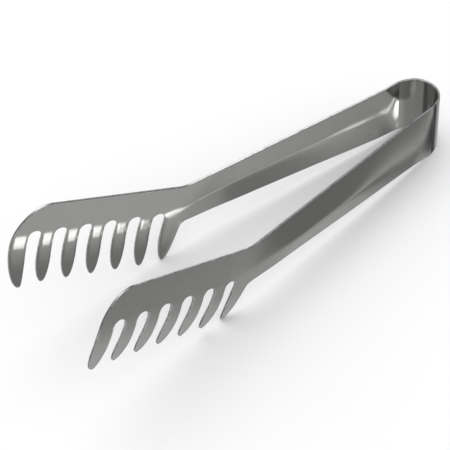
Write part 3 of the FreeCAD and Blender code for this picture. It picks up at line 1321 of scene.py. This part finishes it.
class EffectMaker:
    """Makes the node group of each effect. Places and sizes are in millimetres of the flat blank."""

    @staticmethod
    def started(
        name: str, inputs: dict[str, float | None], outputs: Sequence[str]
    ) -> tuple[Graph, bpy.types.Node, bpy.types.Node]:
        """Makes a group with its sockets.

        Args:
            name: Of the group.
            inputs: Its named inputs, each with its usual value, or None where it is a place.
            outputs: Its named outputs.

        Returns:
            The graph, its input node and its output node.
        """
        tree = bpy.data.node_groups.new(name, "ShaderNodeTree")
        for label, usual in inputs.items():
            kind = "NodeSocketVector" if usual is None else "NodeSocketFloat"
            socket = tree.interface.new_socket(name=label, in_out="INPUT", socket_type=kind)
            if usual is not None:
                socket.default_value = usual
        for label in outputs:
            tree.interface.new_socket(name=label, in_out="OUTPUT", socket_type="NodeSocketFloat")
        return Graph(tree), tree.nodes.new("NodeGroupInput"), tree.nodes.new("NodeGroupOutput")

    @staticmethod
    def stretch(graph: Graph, given: bpy.types.Node) -> bpy.types.NodeSocket:
        """What a place is multiplied by so that noise is drawn out into lines.

        Args:
            graph: The group's graph.
            given: Its input node, which has the lines' Width and Length.

        Returns:
            The factors as a vector.
        """
        share = graph.maths("DIVIDE", given.outputs["Width"], given.outputs["Length"])
        return graph.node("CombineXYZ", {"X": share, "Y": 1.0, "Z": 1.0}).outputs["Vector"]

    @classmethod
    def sheet_waves(cls) -> bpy.types.NodeTree:
        """Slow unevenness that rolling, pressing and polishing leave in thin sheet.

        Returns:
            The group, which gives a height.
        """
        stretch, detail, roughness = (0.45, 1.0, 4.0), 1.5, 0.35
        inputs = {"Place": None, "Size": 14.0, "Depth": 0.01}
        graph, given, result = cls.started("sheet_waves", inputs, ["Height"])
        stretched = graph.vector("MULTIPLY", given.outputs["Place"], stretch)
        waves = graph.noise(stretched, given.outputs["Size"], detail, roughness)
        graph.feed(result.inputs["Height"], graph.maths("MULTIPLY", waves, given.outputs["Depth"]))
        return graph.tree

    @classmethod
    def polishing_lines(cls) -> bpy.types.NodeTree:
        """Fine lines that a polishing belt leaves along the strip.

        Returns:
            The group, which gives a mask of the lines.
        """
        slant, detail, roughness, between, on_line = 0.09, 3.0, 0.62, 0.34, 0.68
        inputs = {"Place": None, "Width": 0.25, "Length": 30.0}
        graph, given, result = cls.started("polishing_lines", inputs, ["Lines"])
        across = cls.stretch(graph, given)
        turned = graph.node("VectorRotate", {"Vector": given.outputs["Place"], "Angle": slant})
        place = graph.vector("MULTIPLY", turned.outputs["Vector"], across)
        lines = graph.noise(place, given.outputs["Width"], detail, roughness)
        graph.feed(result.inputs["Lines"], graph.stepped(lines, between, on_line))
        return graph.tree

    @classmethod
    def hairlines(cls) -> bpy.types.NodeTree:
        """Sparse hairline scratches from use, at several slants.

        Returns:
            The group, which gives a mask of the scratches.
        """
        slants_and_offsets = ((0.5, 3.0), (-0.75, 31.0), (1.45, 57.0))
        line_steps, patch_steps, detail = (0.66, 0.74), (0.5, 0.62), 1.0
        inputs = {"Place": None, "Width": 0.14, "Length": 9.0, "Amount": 0.4}
        graph, given, result = cls.started("hairlines", inputs, ["Marks"])
        across = cls.stretch(graph, given)
        marks: object = 0.0
        for slant, offset in slants_and_offsets:
            moved = graph.vector("ADD", given.outputs["Place"], (offset, offset, 0.0))
            turned = graph.node("VectorRotate", {"Vector": moved, "Angle": slant}).outputs["Vector"]
            fine = graph.noise(graph.vector("MULTIPLY", turned, across), given.outputs["Width"], detail)
            patches = graph.noise(moved, given.outputs["Length"], detail)
            lines, patched = graph.stepped(fine, *line_steps), graph.stepped(patches, *patch_steps)
            marks = graph.maths("MAXIMUM", graph.maths("MULTIPLY", lines, patched), marks)
        graph.feed(result.inputs["Marks"], graph.maths("MULTIPLY", marks, given.outputs["Amount"]))
        return graph.tree

    @classmethod
    def handling_film(cls) -> bpy.types.NodeTree:
        """The faint cloudy film that hands and cloths leave on polished steel.

        Returns:
            The group, which gives a mask of the film.
        """
        cloud_detail, cloud_roughness, cloud_steps = 4.0, 0.6, (0.4, 0.66)
        wipe, streak_share, streak_detail, streak_steps = (0.35, 1.6, 1.0), 0.3, 3.0, (0.3, 0.72)
        inputs = {"Place": None, "Size": 11.0, "Cover": 0.5}
        graph, given, result = cls.started("handling_film", inputs, ["Film"])
        broad = graph.noise(given.outputs["Place"], given.outputs["Size"], cloud_detail, cloud_roughness)
        wiped = graph.vector("MULTIPLY", given.outputs["Place"], wipe)
        streak_size = graph.maths("MULTIPLY", given.outputs["Size"], streak_share)
        streaks = graph.noise(wiped, streak_size, streak_detail)
        cloud, streaked = graph.stepped(broad, *cloud_steps), graph.stepped(streaks, *streak_steps)
        film = graph.maths("MULTIPLY", graph.maths("MULTIPLY", cloud, streaked), given.outputs["Cover"])
        graph.feed(result.inputs["Film"], film)
        return graph.tree

    @classmethod
    def edge_wear(cls) -> bpy.types.NodeTree:
        """A narrow rubbed band beside the sheared edges, uneven along its length.

        Returns:
            The group, which gives a mask of the wear.
        """
        size, detail, roughness, least = 2.2, 4.0, 0.6, 0.45
        inputs = {"Place": None, "Distance": 1.0, "Width": 0.6}
        graph, given, result = cls.started("edge_wear", inputs, ["Wear"])
        uneven = graph.noise(given.outputs["Place"], size, detail, roughness)
        reach = graph.maths("MULTIPLY", given.outputs["Width"], graph.maths("ADD", least, uneven))
        graph.feed(result.inputs["Wear"], graph.stepped(given.outputs["Distance"], reach, 0.0))
        return graph.tree


def attribute(graph: Graph, name: str, output: str) -> bpy.types.NodeSocket:
    """An output of the node that reads one of the mesh's attributes."""
    return graph.node("Attribute", {}, attribute_name=name).outputs[output]


def placed(graph: Graph, effect: Effect, inputs: dict[str, object]) -> bpy.types.NodeSocket:
    """Adds an effect to a material.

    Args:
        graph: The material's nodes.
        effect: Which effect.
        inputs: Its named inputs.

    Returns:
        The effect's output.
    """
    node = graph.node("Group", {}, node_tree=effect.group())
    for name, value in inputs.items():
        graph.feed(node.inputs[name], value)
    return node.outputs[0]


# --------------------------------------------------------------------------- finishes


def new_material(name: str) -> tuple[bpy.types.Material, Graph, bpy.types.Node]:
    """Starts a material.

    Args:
        name: Of the material.

    Returns:
        The material, its graph and its shader.
    """
    material = bpy.data.materials.new(name)
    material.use_nodes = True
    return material, Graph(material.node_tree), material.node_tree.nodes["Principled BSDF"]


def make_metal(graph: Graph, shader: bpy.types.Node, height: bpy.types.NodeSocket) -> None:
    """Turns a shader into metal with a relief.

    Args:
        graph: The material's graph.
        shader: Its shader.
        height: Of the relief, in millimetres.
    """
    bump = graph.node("Bump", {"Height": height, "Strength": 1.0, "Distance": MM})
    graph.feed(shader.inputs["Normal"], bump.outputs["Normal"])
    shader.inputs["Metallic"].default_value = 1.0


@dataclass(frozen=True)
class PolishedFace:
    """The two polished faces of the stainless sheet.

    Attributes:
        clean: Reflection colour of clean steel.
        filmed: The same under the film of handling.
        rubbed: The same where edges have been rubbed.
        roughness: Of clean steel.
        film_roughness: What the film adds.
        mark_roughness: What polishing lines and hairlines add.
        line_share: How much of that the polishing lines add.
        wear_roughness: What rubbing adds beside the edges.
        wear_width: Width of the rubbed band.
        film_size: Size of the film's clouds.
        film_cover: How much of the sheet the film covers.
        wave_size: Length of the sheet's slow unevenness.
        wave_depth: Its height.
        line_size: Width and length of the polishing lines.
        line_depth: Their height.
        mark_size: Width and length of the hairlines.
        mark_depth: Their depth.
        mark_amount: How strong they are.
    """

    clean: tuple[float, float, float] = (0.508, 0.508, 0.486)
    filmed: tuple[float, float, float] = (0.458, 0.456, 0.432)
    rubbed: tuple[float, float, float] = (0.60, 0.60, 0.588)
    roughness: float = 0.085
    film_roughness: float = 0.10
    mark_roughness: float = 0.09
    line_share: float = 0.35
    wear_roughness: float = 0.05
    wear_width: float = 0.75
    film_size: float = 10.0
    film_cover: float = 0.55
    wave_size: float = 15.0
    wave_depth: float = 0.012
    line_size: tuple[float, float] = (0.22, 26.0)
    line_depth: float = 0.0004
    mark_size: tuple[float, float] = (0.13, 8.0)
    mark_depth: float = 0.0012
    mark_amount: float = 0.5

    def effects(self, graph: Graph) -> list[bpy.types.NodeSocket]:
        """Adds the effects.

        Args:
            graph: The material's graph.

        Returns:
            The waves' height, and the masks of the lines, the marks, the film and the wear.
        """
        place = attribute(graph, BLANK, "Vector")
        distance = attribute(graph, EDGE, "Fac")
        (line_width, line_length), (mark_width, mark_length) = self.line_size, self.mark_size
        effects = {
            Effect.SHEET_WAVES: {"Size": self.wave_size, "Depth": self.wave_depth},
            Effect.POLISHING_LINES: {"Width": line_width, "Length": line_length},
            Effect.HAIRLINES: {"Width": mark_width, "Length": mark_length, "Amount": self.mark_amount},
            Effect.HANDLING_FILM: {"Size": self.film_size, "Cover": self.film_cover},
            Effect.EDGE_WEAR: {"Distance": distance, "Width": self.wear_width},
        }
        return [placed(graph, effect, {"Place": place, **given}) for effect, given in effects.items()]

    def material(self) -> bpy.types.Material:
        """Makes the material.

        Returns:
            The material.
        """
        material, graph, shader = new_material("polished_face")
        waves, lines, marks, film, wear = self.effects(graph)
        clean = graph.mixed(film, (*self.clean, 1.0), (*self.filmed, 1.0))
        graph.feed(shader.inputs["Base Color"], graph.mixed(wear, clean, (*self.rubbed, 1.0)))
        worked = graph.maths("ADD", graph.maths("MULTIPLY", lines, self.line_share), marks)
        rough = graph.maths("MULTIPLY_ADD", film, self.film_roughness, self.roughness)
        rough = graph.maths("MULTIPLY_ADD", worked, self.mark_roughness, rough)
        rough = graph.maths("MULTIPLY_ADD", wear, self.wear_roughness, rough)
        graph.feed(shader.inputs["Roughness"], rough)
        height = graph.maths("MULTIPLY_ADD", lines, self.line_depth, waves)
        make_metal(graph, shader, graph.maths("MULTIPLY_ADD", marks, -self.mark_depth, height))
        return material


@dataclass(frozen=True)
class TumbledEdge:
    """The sheared edge of the sheet, rounded by tumbling and a little duller than the faces.

    Attributes:
        bright: Reflection colour where the edge is rubbed.
        dull: The same in its hollows.
        roughness: Least and greatest.
        grain_size: Width and length of the shearing grain.
        grain_depth: Its height.
        film_size: Size of the clouds of film, which set where the edge is rubbed.
        film_cover: How much of the edge they cover.
        wear_width: How thin the film is where the edge is rubbed.
    """

    bright: tuple[float, float, float] = (0.62, 0.62, 0.617)
    dull: tuple[float, float, float] = (0.44, 0.438, 0.433)
    roughness: tuple[float, float] = (0.17, 0.34)
    grain_size: tuple[float, float] = (0.3, 1.4)
    grain_depth: float = 0.004
    film_size: float = 5.0
    film_cover: float = 0.8
    wear_width: float = 0.5

    def material(self) -> bpy.types.Material:
        """Makes the material.

        Returns:
            The material.
        """
        material, graph, shader = new_material("tumbled_edge")
        place = attribute(graph, BLANK, "Vector")
        width, length = self.grain_size
        grain = placed(graph, Effect.POLISHING_LINES, {"Place": place, "Width": width, "Length": length})
        clouds = {"Place": place, "Size": self.film_size, "Cover": self.film_cover}
        film = placed(graph, Effect.HANDLING_FILM, clouds)
        wear = {"Place": place, "Distance": film, "Width": self.wear_width}
        worn = placed(graph, Effect.EDGE_WEAR, wear)
        graph.feed(shader.inputs["Base Color"], graph.mixed(worn, (*self.dull, 1.0), (*self.bright, 1.0)))
        least, greatest = self.roughness
        rough = graph.maths("MULTIPLY_ADD", grain, greatest - least, least)
        graph.feed(shader.inputs["Roughness"], rough)
        make_metal(graph, shader, graph.maths("MULTIPLY", grain, self.grain_depth))
        return material


# --------------------------------------------------------------------------- studio


def direction(azimuth: float, elevation: float) -> tuple[float, float, float]:
    """The direction with an azimuth from +X towards +Y and an elevation, both in degrees."""
    across, up = math.radians(azimuth), math.radians(elevation)
    return (math.cos(up) * math.cos(across), math.cos(up) * math.sin(across), math.sin(up))


@dataclass(frozen=True)
class SoftBox:
    """A soft light in the tent of white cloth round the tongs.

    Attributes:
        azimuth: Of its middle, in degrees from +X towards +Y.
        elevation: Of its middle.
        radius: Half its width, in degrees.
        fade: Width of its soft border.
        strength: Its brightness, over that of the cloth.
    """

    azimuth: float
    elevation: float
    radius: float
    fade: float
    strength: float

    def glow(self, graph: Graph, way: bpy.types.NodeSocket) -> bpy.types.NodeSocket:
        """The light's brightness.

        Args:
            graph: The tent's graph.
            way: The direction that is looked in.

        Returns:
            What the light adds to the cloth in that direction.
        """
        facing = graph.vector("DOT_PRODUCT", way, direction(self.azimuth, self.elevation))
        rim, core = (math.cos(math.radians(r)) for r in (self.radius + self.fade, self.radius))
        return graph.maths("MULTIPLY", graph.stepped(facing, rim, core), self.strength)


@dataclass(frozen=True)
class Studio:
    """The floor, the tent of pale cloth with its soft lights, and the camera.

    Attributes:
        floor_size: Half the floor's width, in metres.
        floor_colour: Of the floor.
        floor_roughness: Of the floor.
        surround: Brightness of the plain surround that lights the floor.
        cloth: Brightness of the cloth by elevation, each in degrees, from below the tongs to above them.
        blueness: Brightness of the cloth's blue, as a share of its red and green.
        darkest: Least brightness that a darker patch of the cloth may have.
        boxes: The soft lights in the cloth, and darker patches where their strength is below 0.
        key_size: Width of the overhead light, in metres.
        key_place: Where it hangs, in metres.
        key_power: Its power, in watts.
        camera_place: Where the camera stands, in metres.
        camera_turn: Its azimuth, elevation and roll, in degrees.
        sensor: Width of its sensor, in millimetres.
        lens: Its focal length, in millimetres.
        nearest: Distance from which it sees, in metres.
    """

    floor_size: float = 3.0
    floor_colour: tuple[float, float, float] = (0.86, 0.86, 0.865)
    floor_roughness: float = 0.9
    surround: float = 0.96
    cloth: tuple[tuple[float, float], ...] = (
        (-90.0, 0.58),
        (-72.0, 0.55),
        (-60.0, 0.46),
        (-52.0, 0.40),
        (-46.0, 0.375),
        (-37.0, 0.27),
        (-30.0, 0.26),
        (-19.0, 0.27),
        (-9.0, 0.18),
        (3.0, 0.14),
        (14.0, 0.16),
        (34.0, 0.20),
        (50.0, 0.40),
        (62.0, 0.62),
        (90.0, 0.85),
    )
    blueness: float = 1.01
    darkest: float = 0.02
    boxes: tuple[SoftBox, ...] = (
        SoftBox(-79.5, -46.6, 3.0, 1.2, 1.5),
        SoftBox(-79.0, -41.0, 2.6, 2.0, 1.3),
        SoftBox(-79.0, -36.0, 2.0, 12.0, 0.2),
        SoftBox(-80.0, -57.0, 5.0, 6.0, 0.13),
        SoftBox(-66.3, -46.0, 1.2, 1.7, 0.95),
        SoftBox(-98.0, -24.0, 3.0, 3.0, 0.6),
        SoftBox(-50.0, -36.0, 3.0, 9.0, -0.05),
        SoftBox(-36.0, -46.0, 4.0, 9.0, 0.09),
        SoftBox(14.0, -46.0, 6.0, 8.0, 0.15),
        SoftBox(-14.0, -47.0, 7.0, 7.0, -0.3),
        SoftBox(60.0, 2.0, 8.0, 8.0, -0.1),
        SoftBox(165.0, -38.0, 6.0, 9.0, -0.2),
        SoftBox(97.0, -42.0, 6.0, 8.0, 0.9),
        SoftBox(42.0, 7.5, 3.5, 2.5, 1.5),
        SoftBox(31.0, 19.0, 4.0, 4.0, 0.5),
        SoftBox(70.0, -44.0, 6.0, 7.0, 0.7),
        SoftBox(128.0, -24.0, 6.0, 12.0, 0.6),
        SoftBox(-128.0, -22.0, 6.0, 10.0, 0.5),
        SoftBox(16.0, -8.0, 7.0, 11.0, 0.45),
        SoftBox(100.0, -6.0, 7.0, 11.0, 0.4),
        SoftBox(152.0, -8.0, 8.0, 11.0, 0.45),
        SoftBox(-152.0, -6.0, 8.0, 11.0, 0.4),
        SoftBox(-38.0, -8.0, 5.0, 9.0, 0.35),
    )
    key_size: float = 1.6
    key_place: tuple[float, float, float] = (0.2, 0.5, 1.8)
    key_power: float = 11.0
    camera_place: tuple[float, float, float] = (-0.23164, -0.364982, 0.509615)
    camera_turn: tuple[float, float, float] = (-30.697, 48.8, -8.794)
    sensor: float = 36.0
    lens: float = 123.117
    nearest: float = 0.01

    def build(self) -> None:
        """Makes all of them."""
        self.floor()
        self.tent()
        self.key()
        self.camera()

    def floor(self) -> None:
        """A wide plain floor, which the steel doesn't mirror."""
        size = self.floor_size
        mesh = bpy.data.meshes.new("floor")
        corners = [(-size, -size, 0.0), (size, -size, 0.0), (size, size, 0.0), (-size, size, 0.0)]
        mesh.from_pydata(corners, [], [(0, 1, 2, 3)])
        floor = bpy.data.objects.new("floor", mesh)
        bpy.context.scene.collection.objects.link(floor)
        floor.visible_glossy = False
        floor.visible_shadow = False
        material, _, shader = new_material("floor")
        shader.inputs["Base Color"].default_value = (*self.floor_colour, 1.0)
        shader.inputs["Roughness"].default_value = self.floor_roughness
        mesh.materials.append(material)

    def tent(self) -> None:
        """Cloth and soft lights for the steel to mirror, and a plain surround for all else."""
        world = bpy.data.worlds.new("tent")
        bpy.context.scene.world = world
        world.use_nodes = True
        graph = Graph(world.node_tree)
        way = graph.node("TexCoord", {}).outputs["Generated"]
        up = graph.node("SeparateXYZ", {"Vector": way}).outputs["Z"]
        height = graph.maths("MULTIPLY_ADD", up, 0.5, 0.5)
        ramp = graph.node("ValToRGB", {"Fac": height})
        stops = ramp.color_ramp.elements
        for place, (elevation, brightness) in enumerate(self.cloth):
            at = 0.5 + 0.5 * math.sin(math.radians(elevation))
            stop = stops[place] if place < 1 else stops.new(at)
            stop.position = at
            stop.color = (brightness, brightness, brightness * self.blueness, 1.0)
        stops.remove(stops[-1])
        glow: bpy.types.NodeSocket = ramp.outputs["Color"]
        for box in self.boxes:
            glow = graph.vector("ADD", glow, box.glow(graph, way))
        glow = graph.vector("MAXIMUM", glow, (self.darkest,) * 3)
        seen_in_steel = graph.node("LightPath", {}).outputs["Is Glossy Ray"]
        plain = (self.surround, self.surround, self.surround, 1.0)
        colour = graph.mixed(seen_in_steel, plain, glow)
        graph.feed(world.node_tree.nodes["Background"].inputs["Color"], colour)
        bpy.context.scene.view_settings.view_transform = "Standard"

    def key(self) -> None:
        """A wide soft light overhead."""
        data = bpy.data.lights.new("overhead", "AREA")
        data.size = self.key_size
        data.energy = self.key_power
        light = bpy.data.objects.new("overhead", data)
        light.location = self.key_place
        light.rotation_euler = (-Vector(light.location)).to_track_quat("-Z", "Y").to_euler()
        bpy.context.scene.collection.objects.link(light)

    def camera(self) -> None:
        """A camera on the side of the comb's inner faces, looking down at the tongs."""
        azimuth, elevation, roll = self.camera_turn
        data = bpy.data.cameras.new("camera")
        camera = bpy.data.objects.new("camera", data)
        bpy.context.scene.collection.objects.link(camera)
        back = Vector(direction(azimuth - 90.0, elevation))
        look = (-back).to_track_quat("-Z", "Y").to_matrix().to_4x4()
        rolled = Matrix.Rotation(math.radians(roll), 4, "Z")
        camera.matrix_world = Matrix.Translation(Vector(self.camera_place)) @ look @ rolled
        data.sensor_width = self.sensor
        data.lens = self.lens
        data.clip_start = self.nearest
        bpy.context.scene.camera = camera


def report(piece: bpy.types.Object) -> None:
    """Logs a piece and the size of its mesh."""
    mesh = piece.data
    log.info("%s: %d vertices, %d faces", piece.name, len(mesh.vertices), len(mesh.polygons))


def main() -> None:
    """Builds the tongs, dresses them and sets the studio round them."""
    logging.basicConfig(level=logging.INFO, format="%(name)s: %(message)s", stream=sys.stdout)
    strip = StripFrame.from_record(frame["record"])
    finishes = [finish.material() for finish in (PolishedFace(), TumbledEdge())]
    for side in Side:
        for part in (Arm(side), BowHalf(side)):
            piece = part.build(strip)
            for finish in finishes:
                piece.data.materials.append(finish)
            report(piece)
    Studio().build()


if __name__ == "__main__":
    main()
